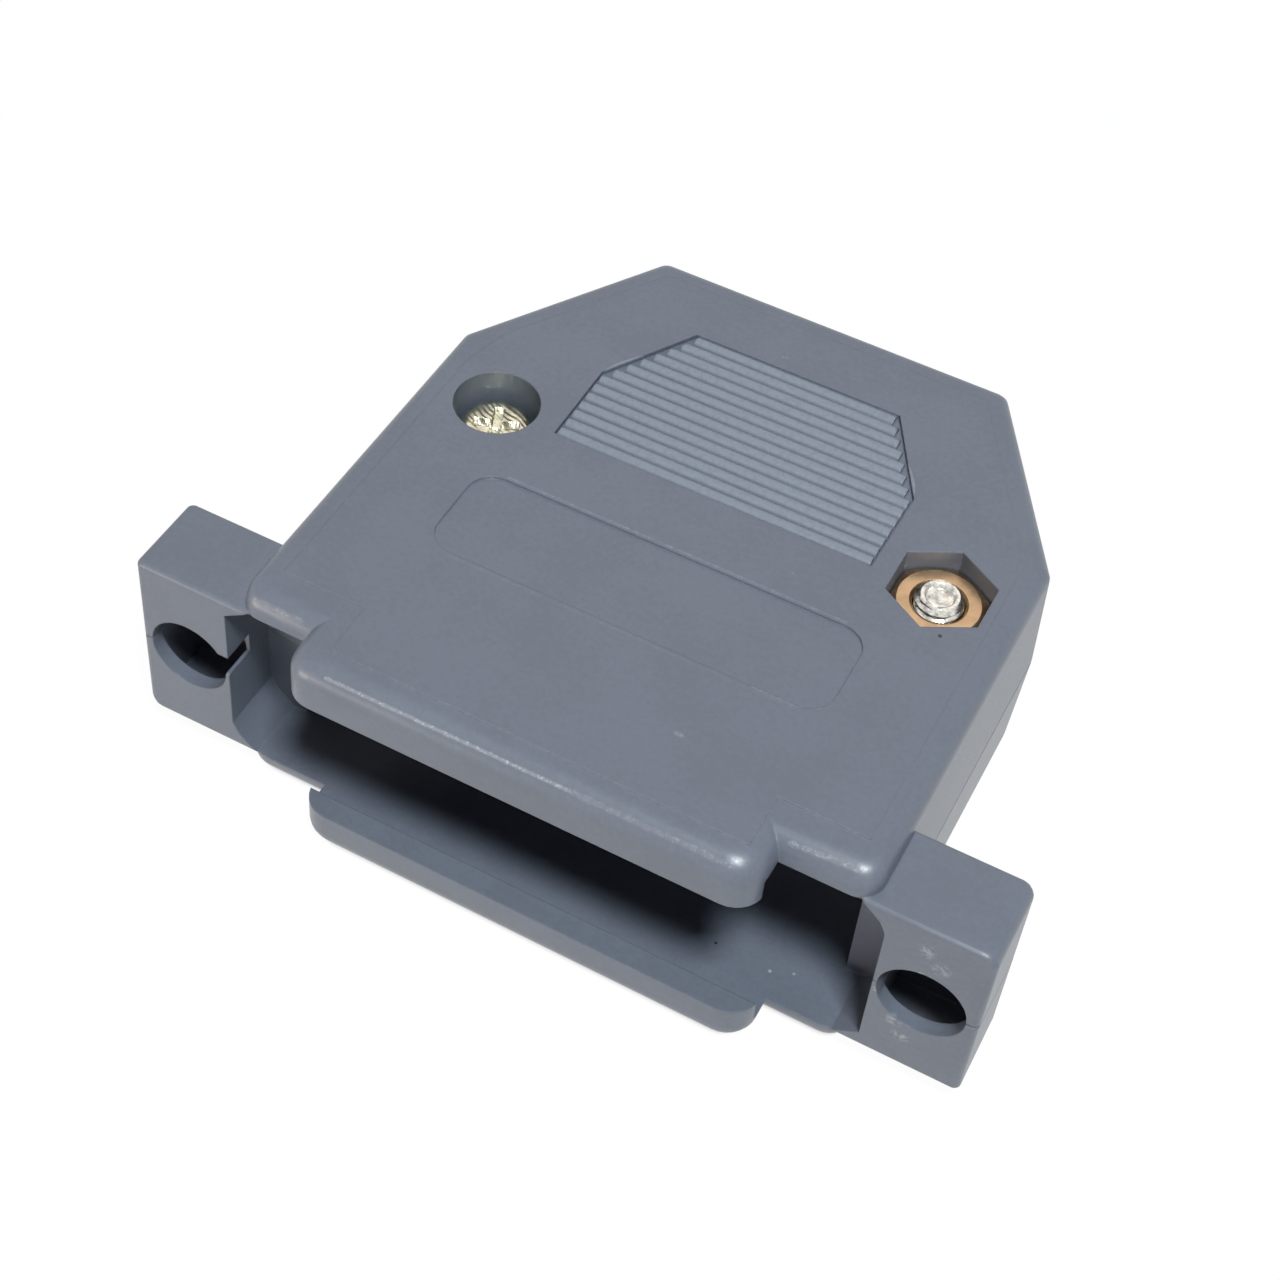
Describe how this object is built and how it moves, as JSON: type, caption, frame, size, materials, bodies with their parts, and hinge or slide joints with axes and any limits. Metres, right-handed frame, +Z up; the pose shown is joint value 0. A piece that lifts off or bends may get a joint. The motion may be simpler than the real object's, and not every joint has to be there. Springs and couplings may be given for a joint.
{
  "type": "d-sub hood",
  "caption": "Grey plastic D-sub hood in two screwed half shells, with eared front opening for a wide connector, ridged grip, bare label recess and rear cable outlet with clamp.",
  "frame": {"origin": "middle of the object's footprint, on the surface that it lies on", "axes": "+X to the right along the row of screw holes, +Y from the connector opening to the cable outlet, +Z up"},
  "size_m": [0.0536, 0.0444, 0.0162],
  "materials": {
    "shell_plastic": "fine satin moulded finish",
    "plated_screw": "bright zinc plating",
    "plated_nut": "nickel plating with a warm tint",
    "clamp_steel": "bare bent strip"
  },
  "bodies": {
    "root": {"shell_upper": "shell_plastic", "shell_lower": "shell_plastic", "case_screw_left": "plated_screw", "case_screw_right": "plated_screw", "case_nut_left": "plated_nut", "case_nut_right": "plated_nut", "clamp_saddle_upper": "clamp_steel", "clamp_saddle_lower": "clamp_steel", "clamp_screw_left": "plated_screw", "clamp_screw_right": "plated_screw", "clamp_nut_left": "plated_nut", "clamp_nut_right": "plated_nut"}
  },
  "joints": []
}
